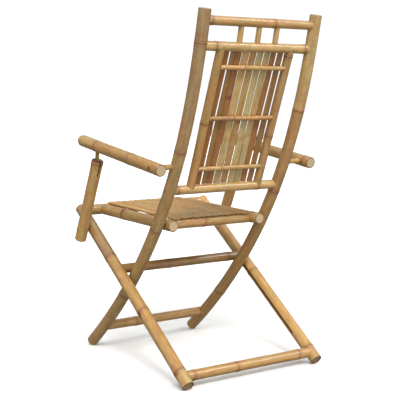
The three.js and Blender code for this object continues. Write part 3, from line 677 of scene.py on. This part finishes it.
def bamboo_material(name, streak=1.0, roughness=0.34, coat=0.42, ring=1.0):
    """Bamboo. The skin is a hard waxy rind under varnish: long fine fibre streaks, soft blotches
    along the grain, pale waxy lines beside each node's dark scar, and small brown flecks. Where it
    is cut, the pale pith shows with the dark ends or sides of its fibre bundles."""
    material, tree = bare_material(name)
    grain, marks, tone = (
        add(tree, "Attribute", {"attribute_name": layer}, {}, output)
        for layer, output in (("grain", "Vector"), ("marks", "Vector"), ("tone", "Color")))
    distance, stain_and_shadow, cut = add(tree, "SeparateXYZ", {}, {"Vector": marks}).node.outputs

    # Patterns by their scale across and along the grain: fibre streaks 0.8 mm wide and 60 mm long,
    # drawn a little coarser than real so that they show, broad bands, clouds, the drift of the
    # hue, and flecks about 2 mm across and 6 mm long
    wood = {}
    for pattern, across, lengthwise, noise in (
            ("fibre", 0.9, 0.013, {"Detail": 4.0, "Roughness": 0.6}),
            ("bands", 0.12, 0.009, {"Detail": 3.0}),
            ("clouds", 0.085, 0.034, {"Detail": 5.0, "Roughness": 0.62, "Distortion": 0.6}),
            ("hue", 0.07, 0.012, {"Detail": 3.0, "Roughness": 0.6}),
            ("flecks", 0.36, 0.12, {"Detail": 2.0})):
        place = add(tree, "Mapping", {}, {"Vector": grain, "Scale": (across, across, lengthwise)})
        wood[pattern] = add(tree, "TexNoise", {}, {"Vector": place, "Scale": 1.0, **noise})

    # Each culm drifts between a greenish straw and a redder brown along its grain
    drift = add(tree, "MapRange", {}, (wood["hue"], 0.41, 0.59))
    drift = add(tree, "Mix", BLEND,
                {0: drift, 6: (0.97, 1.05, 0.94, 1.0), 7: (1.05, 0.93, 0.80, 1.0)}, 2)
    tone = add(tree, "Mix", MULTIPLY, {0: 1.0, 6: tone, 7: drift}, 2)
    dark = add(tree, "Mix", MULTIPLY, {0: 1.0, 6: tone, 7: (0.74, 0.67, 0.56, 1.0)}, 2)
    light = add(tree, "Mix", MULTIPLY, {0: 1.0, 6: tone, 7: (1.26, 1.25, 1.22, 1.0)}, 2)
    level = 0.04
    for pattern, low, high, weight in (("fibre", 0.36, 0.64, 0.42 * streak),
                                       ("bands", 0.38, 0.62, 0.34 * streak),
                                       ("clouds", 0.4, 0.64, 0.5)):
        share = add(tree, "MapRange", {}, (wood[pattern], low, high))
        level = add(tree, "Math", SCALE_AND_ADD, (share, weight, level))
    skin = add(tree, "Mix", BLEND, {0: level, 6: dark, 7: light}, 2)

    # How far each place is from the waxy line and from the rim of a cut
    beside, rim = (
        add(tree, "Math", {"operation": "ABSOLUTE"},
            (add(tree, "Math", {"operation": "SUBTRACT"}, (value, line)),))
        for value, line in ((distance, 3.4), (cut, 0.5)))

    # Reddish stains, and the painted shadow of the back panel's middle bar on the slats, with a ragged edge
    ragged = add(tree, "Math", SCALE_AND_ADD, (wood["clouds"], 1.6, -0.8))
    ragged = add(tree, "Math", SCALE_AND_ADD, (wood["fibre"], 0.8, ragged))
    ragged = add(tree, "Math", SCALE_AND_ADD, (stain_and_shadow, 1.7, ragged))
    ragged = add(tree, "Math", {"operation": "MULTIPLY"}, (ragged, stain_and_shadow))

    # Over the skin: flecks, the reddish shade round a node, a faint waxy line on either side of its
    # scar, the brown scar, and stains, which on the back slats also paint the middle bar's shadow
    for how, value, start, end, at_start, at_end, code in (
            (MULTIPLY, wood["flecks"], 0.66, 0.76, 0.0, 0.5, "#8a5a38"),
            (MULTIPLY, distance, 1.0, 11.0, 0.65 * ring, 0.0, "#cb9263"),
            (BLEND, beside, 0.4, 2.2, 0.14 * ring, 0.0, "#e2c795"),
            (BLEND, distance, 0.5, 2.6, 0.75 * ring, 0.0, "#6f451f"),
            (BLEND, ragged, 0.12, 1.1, 0.0, 1.0, "#7a3820")):
        share = add(tree, "MapRange", SMOOTH, (value, start, end, at_start, at_end))
        skin = add(tree, "Mix", how, {0: share, 6: skin, 7: colour(code)}, 2)

    # Cut faces: fibre bundles about 0.9 mm apart
    place = add(tree, "Mapping", {}, {"Vector": grain, "Scale": (0.9, 0.9, 0.04)})
    bundles = add(tree, "TexVoronoi", {}, {"Vector": place, "Scale": 1.0}, "Distance")
    bundles = add(tree, "MapRange", {}, (bundles, 0.12, 0.42, 0.35, 0.0))
    pith = add(tree, "Mix", MULTIPLY, {0: bundles, 6: colour("#b19a75"), 7: colour("#a5825c")}, 2)
    inside = add(tree, "MapRange", {}, (cut, 0.5, 0.95))
    finish = add(tree, "Mix", BLEND, {0: inside, 6: skin, 7: pith}, 2)

    # The varnish soaks into the rim of a cut and darkens it
    rim = add(tree, "MapRange", {}, (rim, 0.1, 0.45, 0.85, 0.0))
    finish = add(tree, "Mix", MULTIPLY, {0: rim, 6: finish, 7: colour("#7c5236")}, 2)

    rough = add(tree, "MapRange", {}, (wood["clouds"], 0.3, 0.7, roughness + 0.1, roughness - 0.06))
    rough = add(tree, "Math", SCALE_AND_ADD, (cut, 0.35, rough))
    bump = add(tree, "Bump", {}, {"Strength": 0.35, "Distance": 0.12 * MM, "Height": wood["fibre"]})
    bump = add(tree, "Bump", {}, {"Strength": 0.4, "Distance": 0.5 * MM, "Height": wood["bands"],
                                  "Normal": bump})
    shader = add(tree, "BsdfPrincipled", {},
                 {"Base Color": finish, "Roughness": rough, "Normal": bump, "IOR": 1.5,
                  "Coat Weight": coat, "Coat Roughness": 0.16})
    add(tree, "OutputMaterial", {}, {"Surface": shader})
    return material


def metal_material(name, worn_colour, tarnish, roughness):
    """Dull brass, drawn as strip or turned as pins and handled for years: yellow metal under an
    olive-brown tarnish that wears off in patches, with fine scratches."""
    material, tree = bare_material(name)
    place = add(tree, "TexCoord", {}, {}, "Object")
    # Tarnish patches about 5 mm across, with scratches 0.5 mm apart
    patches = add(tree, "TexNoise", {}, {"Vector": place, "Scale": 200.0, "Detail": 4.0})
    scratches = add(tree, "TexNoise", {}, {"Vector": place, "Scale": 2000.0, "Detail": 1.0})
    worn = add(tree, "MapRange", {}, (patches, 0.38, 0.62))
    metal = add(tree, "Mix", BLEND, {0: worn, 6: colour(tarnish), 7: colour(worn_colour)}, 2)
    rough = add(tree, "MapRange", {}, (patches, 0.0, 1.0, roughness + 0.2, roughness))
    bump = add(tree, "Bump", {}, {"Strength": 0.2, "Distance": 0.05 * MM, "Height": scratches})
    shader = add(tree, "BsdfPrincipled", {},
                 {"Base Color": metal, "Metallic": 0.2, "Roughness": rough, "Normal": bump})
    add(tree, "OutputMaterial", {}, {"Surface": shader})
    return material


# Skins: a material and the slot that it stands for
culm_skin = bamboo_material("varnished_bamboo_culm"), "culm"
thin_skin = bamboo_material("varnished_thin_bamboo", 0.9, 0.4, coat=0.3, ring=0.6), "thin_bamboo"
back_skin = bamboo_material("split_bamboo_back_slat", 1.1, 0.42, coat=0.12, ring=0.25), "back_slat"
seat_skin = bamboo_material("split_bamboo_seat_slat", 1.0, 0.45, coat=0.1), "seat_slat"
brass = metal_material("dull_brass_strip", "#9c8340", "#857036", 0.6), "brass"
pin_metal = metal_material("tarnished_brass_pin", "#6a5a24", "#453a16", 0.55), "brass"


# Driving places, from the frame
seat_pivot, front_rail_at = pivot("seat_fold"), pivot("leg_fold")
post_x, pole_x, seat_rail_x = (middle(f"{part}_left")[0] for part in ("post", "pole", "seat_rail"))
stiles_at = (middle("back_stile_left")[0], middle("back_stile_right")[0])
post_radius, pole_radius, armrest_radius, support_radius, seat_rail_radius, stile_radius = (
    radius_of(f"{part}_left", axis=0)
    for part in ("post", "pole", "armrest", "arm_support", "seat_rail", "back_stile"))
slide_at = in_plane(middle("slide_pin_left"), 0)
pole_reach = slide_at - in_plane(front_rail_at, 0)
seat_reach = in_plane(front_rail_at, 0) - in_plane(seat_pivot, 0)
pole_heading, seat_heading = unit(pole_reach), unit(seat_reach)
arm_heading = np.array([0, -np.cos(ARM_SLOPE), np.sin(ARM_SLOPE)])


def rim_reach(lean):
    """How far a post's eased, square-sawn rim stands past its centre along X, Y and Z."""
    slopes = np.array([0, np.pi / 2 - lean, lean])
    return post_radius * np.sin(slopes) - EASE * np.minimum(np.cos(slopes), np.sin(slopes))


def marked(name, length):
    """A culm's nodes, tones and stains from the table, or plain gold if it isn't there."""
    shares, tones, *stains_and_shadow = CULMS.get(name, ((), "gold"))
    return {"nodes": [share * length for share in shares], "tones": tones, "stains_and_shadow": stains_and_shadow}


def add_culm(prefix, name, line, start, end, radius, seed, body, skin=culm_skin, **ends):
    """A culm as a finished piece, marked as the table says."""
    surface = culm(line, start, end, radius, seed, **ends, **marked(name, end - start))
    add_piece(f"{prefix}_{name}", surface, skin, body, name)


# Posts
post_courses = {}
for side, sign in SIDES.items():
    name = f"post_{side}"
    low, high = box(name)
    foot, head = (in_plane(centre, sign * post_x)
                  for centre in (low + rim_reach(FOOT_LEAN), high - rim_reach(HEAD_LEAN)))
    line, length, *post_courses[side] = bent(foot, head)
    add_culm("bent", name, line, 0, length, post_radius, 0.3 + 0.4 * sign, "back_frame",
             low=PLUGGED)


def post_at(height):
    """Where the left post's axis passes a height, and its direction there."""
    curve, headings = post_courses["left"]
    nearest = np.abs(curve[:, 2] - height).argmin()
    return curve[nearest], headings[nearest]


def cross_rail(name, ends, radius, point, heading, culm_radius, body, seed, skin=culm_skin,
               columns=COLUMNS, prefix="coped"):
    """A rail along X from one culm to another, coped to both. `ends` gives the x of both culms,
    whose common direction is `heading` and which pass `point`."""
    line, length = straight(in_plane(middle(name), ends[0]), -ACROSS, REARWARDS), ends[0] - ends[1]
    _, side, other = line(0.0)
    cope = coped(in_plane(middle(name), 0), side, other, in_plane(point, 0), heading, culm_radius)
    add_culm(prefix, name, line, 0, length, radius, seed, body, skin, low_cope=cope,
             high_cope=cope, columns=columns)


def upright(prefix, name, low_rail, high_rail, radius, seed, skin, columns):
    """A culm of the back frame from one rail up to another, coped to both."""
    low, high = (in_plane(middle(rail), middle(name)[0]) for rail in (low_rail, high_rail))
    add_culm(prefix, name, straight(low, high - low), 0, np.linalg.norm(high - low), radius, seed,
             "back_frame", skin, low_cope=coped_on_rail(low_rail),
             high_cope=coped_on_rail(high_rail), columns=columns)


# Rails of the back frame
for order, name in enumerate(("top_rail", "second_rail", "lower_back_rail", "foot_stretcher")):
    cross_rail(name, (post_x, -post_x), radius_of(name), *post_at(middle(name)[2]), post_radius,
               "back_frame", 1.1 + 0.7 * order)

# Head spindles, and the back panel's stiles and bars
for number in (1, 2, 3):
    name = f"spindle_{number}"
    upright("head", name, "second_rail", "top_rail", radius_of(name, 0, axis=0), 2.3 * number,
            thin_skin, THIN_COLUMNS)
for side, sign in SIDES.items():
    upright("coped", f"back_stile_{side}", "lower_back_rail", "second_rail", stile_radius,
            3.1 + sign, culm_skin, STILE_COLUMNS)
second_at, lower_at = middle("second_rail"), middle("lower_back_rail")
panel_heading = unit(in_plane(second_at, 0) - in_plane(lower_at, 0))
panel_front = np.cross(ACROSS, panel_heading)
thin_rail = {"skin": thin_skin, "columns": THIN_COLUMNS, "prefix": "thin"}
for number in (1, 2, 3):
    name = f"back_bar_{number}"
    cross_rail(name, stiles_at, radius_of(name, 0), lower_at, panel_heading, stile_radius,
               "back_frame", 4.4 + number, **thin_rail)

# Back slats
gap_left = CAD_BACK_GAP
for number, (tones, share, gap, *stains_and_shadow) in enumerate(BACK_SLATS, start=1):
    name = f"back_slat_{number:02d}"
    right, left = box(name)[:, 0]
    left, right = left + (CAD_BACK_GAP - gap_left) / 2, right - (CAD_BACK_GAP - gap) / 2
    origin = in_plane(lower_at, (left + right) / 2)
    low, high = span(name, origin, panel_heading)
    low -= BACK_SLAT_DROP
    back, _ = span(name, origin, panel_front)
    reach = high - low
    # The slat's patches go into the same list as stains; those just below the middle bar are painted shadow
    stains_and_shadow = [(low + at * reach, 0, half * reach, OVER_SLAT, strength)
              for at, half, strength in stains_and_shadow]
    surface = slat(straight(origin + panel_front * back, panel_heading, -ACROSS), low, high,
                   left - right, SLAT_THICKNESS, (share * reach,), tones, 0.37 * number,
                   stains_and_shadow, 0.7 * gap)
    gap_left = gap
    add_piece(f"split_{name}", surface, back_skin, "back_frame", name)

# Poles of the rear leg frame, and their stretchers. The slots run from the slide pin's place in
# the standing chair to its place when the seat is turned up.
turn = np.radians(joint("seat_fold")["range_deg"][1])
turned_reach = seat_reach * np.cos(turn) - np.cross(ACROSS, seat_reach) * np.sin(turn)
folded_front = in_plane(seat_pivot, 0) + turned_reach
open_slide, folded_slide = np.linalg.norm(pole_reach), np.linalg.norm(folded_front - slide_at)
for side, sign in SIDES.items():
    name = f"pole_{side}"
    origin = in_plane(front_rail_at, sign * pole_x)
    low, high = span(name, origin, pole_heading)
    surface = slotted_culm(straight(origin, pole_heading), low, high, pole_radius, 5.2 + sign,
                           open_slide - SLOT_LEAD, folded_slide + SLOT_SPARE, -sign,
                           **marked(name, high - low))
    add_piece(f"slotted_{name}", surface, culm_skin, "leg_frame", name, merge=True)
for order, name in enumerate(("middle_stretcher", "rear_stretcher")):
    cross_rail(name, (pole_x, -pole_x), radius_of(name), front_rail_at, pole_heading, pole_radius,
               "leg_frame", 6.5 + order)

# Seat frame: the front rail with a tenon at each end, the side rails, the rear rail and two bars
shoulder = pole_x - pole_radius - GAP
tenon = corners("seat_front_rail")[:, 0].max()
front_rail = [culm(straight(in_plane(front_rail_at, shoulder), -ACROSS, REARWARDS), 0,
                   2 * shoulder, radius_of("seat_front_rail", 0), 7.7, tones="honey")]
for sign in (1, -1):
    root = in_plane(front_rail_at, sign * (shoulder - 2))
    front_rail.append(culm(straight(root, sign * ACROSS, REARWARDS), 0, tenon - shoulder + 2,
                           FRONT_TENON_RADIUS, 8.1, tones="pin_wood", columns=24))
add_piece("turned_front_rail", join_surfaces(front_rail), culm_skin, "seat", "seat_front_rail")
for side, sign in SIDES.items():
    name = f"seat_rail_{side}"
    origin = in_plane(seat_pivot, sign * seat_rail_x)
    low, high = span(name, origin, seat_heading)[0], np.linalg.norm(seat_reach)
    add_culm("coped", name, straight(origin, seat_heading), low, high, seat_rail_radius, 9.0 + sign,
             "seat", high_cope=coped_on_rail("seat_front_rail", 0))
for name, seed, how in (("seat_rear_rail", 10.3, {}), ("seat_bar_1", 12.5, thin_rail),
                        ("seat_bar_2", 13.5, thin_rail)):
    cross_rail(name, (seat_rail_x, -seat_rail_x), radius_of(name, 0), seat_pivot, seat_heading,
               seat_rail_radius, "seat", seed, **how)

# Seat slats
mount_up = np.array(frame["record"]["mounts"][0]["axis"])
slat_heading = np.cross(mount_up, ACROSS)
for number, tone in enumerate(SEAT_TONES, start=1):
    name = f"seat_slat_{number:02d}"
    centre = middle(name)
    low, high = span(name, centre, slat_heading)
    under, _ = span(name, centre, mount_up)
    low += SLAT_ENDS_UNEVEN * np.sin(5 * number)
    high += SLAT_ENDS_UNEVEN * np.sin(3.7 * number)
    wider = EDGE_SLAT_WIDER * ((number == 1) - (number == len(SEAT_TONES)))
    deeper = EDGE_SLAT_DEEPER * (wider != 0)
    centre[0] += wider / 2
    surface = slat(straight(centre + mount_up * (under - deeper), slat_heading, -ACROSS), low, high,
                   2 * radius_of(name, 0, axis=0) + abs(wider), SLAT_THICKNESS + deeper, (), tone,
                   0.53 * number)
    add_piece(f"split_{name}", surface, seat_skin, "seat", name)

# Arms, with their supports, straps, dowels and pins
for side, sign in SIDES.items():
    arm_pivot, strap_pin = pivot(f"arm_fold_{side}"), pivot(f"support_fold_{side}")
    lower_pin = in_plane(middle(f"lower_pin_{side}"), strap_pin[0])
    name = f"armrest_{side}"
    low, high = span(name, arm_pivot, arm_heading)
    add_culm("domed", name, straight(arm_pivot, arm_heading), low, high, armrest_radius,
             12.6 + sign, f"arm_{side}", high=DOMED)

    # The support is a culm up to the floor of its fork, and two prongs
    name = f"arm_support_{side}"
    heading = unit(strap_pin - lower_pin)
    low, high = span(name, strap_pin, heading)
    line, floor = straight(strap_pin, heading), high - FORK_SLOT_DEPTH
    marks = {"seed": 13.9 + sign, **marked(name, high - low)}
    support = [culm(line, low, floor, support_radius, high=FLUSH, **marks)]
    support += [prong(line, low, floor, high, support_radius, way, **marks) for way in (1, -1)]
    add_piece(f"forked_{name}", join_surfaces(support), culm_skin, f"support_{side}", name)

    # The strap goes up into the armrest, and its pin through both prongs
    arm_up = np.cross(ACROSS, -arm_heading)
    top = ((corners(f"strap_{side}") - strap_pin) @ arm_up).max()
    strip = strap(straight(strap_pin + arm_up * top, -arm_up, arm_heading), top + STRAP_WIDTH / 2,
                  STRAP_WIDTH, STRAP_THICKNESS)
    head = support_radius + HEAD_PROUD
    add_piece(f"brass_strap_{side}", strip, brass, f"arm_{side}", f"strap_{side}")
    add_piece(f"strap_pin_{side}", pin(strap_pin, sign, -head, head), pin_metal, f"arm_{side}")
    add_piece(f"support_pin_{side}", pin(lower_pin, sign, -head, head), pin_metal,
              f"support_{side}", f"lower_pin_{side}")

    # The dowel between post and armrest, and its tenon, which shows outside the armrest
    name = f"arm_dowel_{side}"
    root = in_plane(arm_pivot, sign * post_x)
    shoulder = abs(arm_pivot[0]) - armrest_radius - GAP - post_x
    tip = abs(arm_pivot[0]) + armrest_radius + HEAD_PROUD - post_x
    cope = coped(in_plane(arm_pivot, 0), UP, np.cross(ACROSS, UP), *post_at(arm_pivot[2]),
                 post_radius)
    add_culm("coped", name, straight(root, sign * ACROSS, UP), 0, shoulder, radius_of(name, 0),
             15.2 + sign, "back_frame", thin_skin, low_cope=cope, columns=THIN_COLUMNS)
    add_piece(f"dowel_tenon_{side}", pin(root, sign, shoulder - 4, tip, TENON_RADIUS), pin_metal,
              "back_frame")

    # The pins that the seat turns on and that slide in the poles
    for name, at in ((f"seat_pin_{side}", seat_pivot),
                     (f"slide_pin_{side}", middle(f"slide_pin_{side}"))):
        start, end = sorted(np.abs(box(name)[:, 0]))
        surface = pin(in_plane(at, 0), sign, start, end)
        add_piece(f"turned_{name}", surface, pin_metal, "back_frame", name)

# Nail heads at the joints: where the rails' ends meet the culms that carry them, and on the rear
# of the back panel
rear = -panel_front
nails = {"back_frame": [], "leg_frame": [], "seat": []}
for sign, stile_at in zip((1, -1), stiles_at):
    for body, reach, names in (
            ("back_frame", post_x + post_radius,
             ("top_rail", "second_rail", "lower_back_rail", "foot_stretcher")),
            ("leg_frame", pole_x + pole_radius, ("middle_stretcher", "rear_stretcher")),
            ("seat", seat_rail_x + seat_rail_radius, ("seat_rear_rail",))):
        nails[body] += [(in_plane(middle(name), sign * reach), sign * ACROSS) for name in names]
    for name in ("back_bar_1", "back_bar_2", "back_bar_3"):
        at = in_plane(middle(name), stile_at - sign * (stile_radius + NAIL_INSET))
        nails["back_frame"].append((at + rear * radius_of(name, 0), rear))
    at = in_plane(second_at, stile_at)
    nails["back_frame"].append((at + rear * radius_of("second_rail"), rear))
for body, places in nails.items():
    heads = join_surfaces([nail(place, outwards) for place, outwards in places])
    add_piece(f"nail_heads_{body}", heads, pin_metal, body)


# Floor, backdrop, light and camera
def stage_piece(name, places, faces, material_name, code, strength=0.0):
    """A part of the studio that only the camera sees, so that it throws no light on the chair."""
    mesh = bpy.data.meshes.new(name)
    mesh.from_pydata(places, [], faces)
    material, tree = bare_material(material_name)
    shader = add(tree, "BsdfPrincipled", {},
                 {"Base Color": colour(code), "Roughness": 0.9, "Emission Color": (1, 1, 1, 1),
                  "Emission Strength": strength})
    add(tree, "OutputMaterial", {}, {"Surface": shader})
    mesh.materials.append(material)
    piece = put(name, mesh)
    piece.visible_diffuse = piece.visible_glossy = piece.visible_transmission = False
    return piece


FLOOR_HALF = 12.0
corner = np.array([(-1, -1), (1, -1), (1, 1), (-1, 1)]) * FLOOR_HALF
stage_piece("floor", np.column_stack((corner, np.zeros(4))), [(0, 1, 2, 3)], "pale_studio_floor",
            "#fafaf8")
room = np.array([(x, y, z) for z in (-0.5, 1) for x, y in corner]) * (1.0, 1.0, FLOOR_HALF)
walls = [(0, 1, 2, 3), (4, 7, 6, 5), (0, 4, 5, 1), (1, 5, 6, 2), (2, 6, 7, 3), (3, 7, 4, 0)]
backdrop = stage_piece("backdrop", room, walls, "white_studio_backdrop", "#000000", 1.0)
backdrop.visible_shadow = False

# Light from all round, dim ahead of the chair and below, a soft key from behind its left and a
# weaker light from behind its right that glints along the rails
BRIGHT_SIDE = (0.25, 0.62, 0.74)
SKY_STRENGTHS = (0.18, 1.17)
world = bpy.data.worlds.new("studio")
bpy.context.scene.world = world
world.use_nodes = True
sky = world.node_tree
direction = add(sky, "TexCoord", {}, {}, "Generated")
facing = add(sky, "VectorMath", {"operation": "DOT_PRODUCT"}, (direction, BRIGHT_SIDE), "Value")
level = add(sky, "MapRange", SMOOTH, (facing, -0.7, 0.9, *SKY_STRENGTHS))
sky.links.new(level, sky.nodes["Background"].inputs["Strength"])
sky.nodes["Background"].inputs["Color"].default_value = (1, 1, 1, 1)
bpy.context.scene.view_settings.view_transform = "Standard"


def aim(thing, place, target, roll=0.0):
    """Puts a camera or light at a place, in metres, looking at a target."""
    back = unit(np.asarray(place, float) - target)
    right = unit(np.cross(UP, back))
    up = np.cross(back, right)
    right, up = right * np.cos(roll) + up * np.sin(roll), up * np.cos(roll) - right * np.sin(roll)
    matrix = np.eye(4)
    matrix[:3, :3] = np.stack((right, up, back), axis=1)
    matrix[:3, 3] = place
    thing.matrix_world = matrix.T


# The camera's target, place, roll and focal length in pixels, all fitted to the photo
CENTRE = np.array([0.0, 0.0104, 0.4652])
AZIMUTH, ELEVATION, DISTANCE = np.radians(144.39), np.radians(6.17), 2.8881
ROLL = np.radians(0.11)
FOCAL_PIXELS, PHOTO_WIDTH, SENSOR = 995.2, 400, 36

# Name, direction that it comes from, strength and width in degrees
LIGHTS = (("key", (0.40, 0.74, 0.86), 1.78, 18), ("glint", (-0.58, 0.50, 0.64), 0.62, 12))
for name, towards, strength, softness in LIGHTS:
    sun = bpy.data.lights.new(name, "SUN")
    sun.energy = strength
    sun.angle = np.radians(softness)
    aim(put(name, sun), CENTRE + np.array(towards) * 3, CENTRE)

camera_back = np.array([np.sin(AZIMUTH) * np.cos(ELEVATION), -np.cos(AZIMUTH) * np.cos(ELEVATION),
                        np.sin(ELEVATION)])
camera_data = bpy.data.cameras.new("camera")
camera_data.sensor_width = SENSOR
camera_data.lens = FOCAL_PIXELS * SENSOR / PHOTO_WIDTH
camera = put("camera", camera_data)
aim(camera, CENTRE + camera_back * DISTANCE, CENTRE, ROLL)
bpy.context.scene.camera = camera
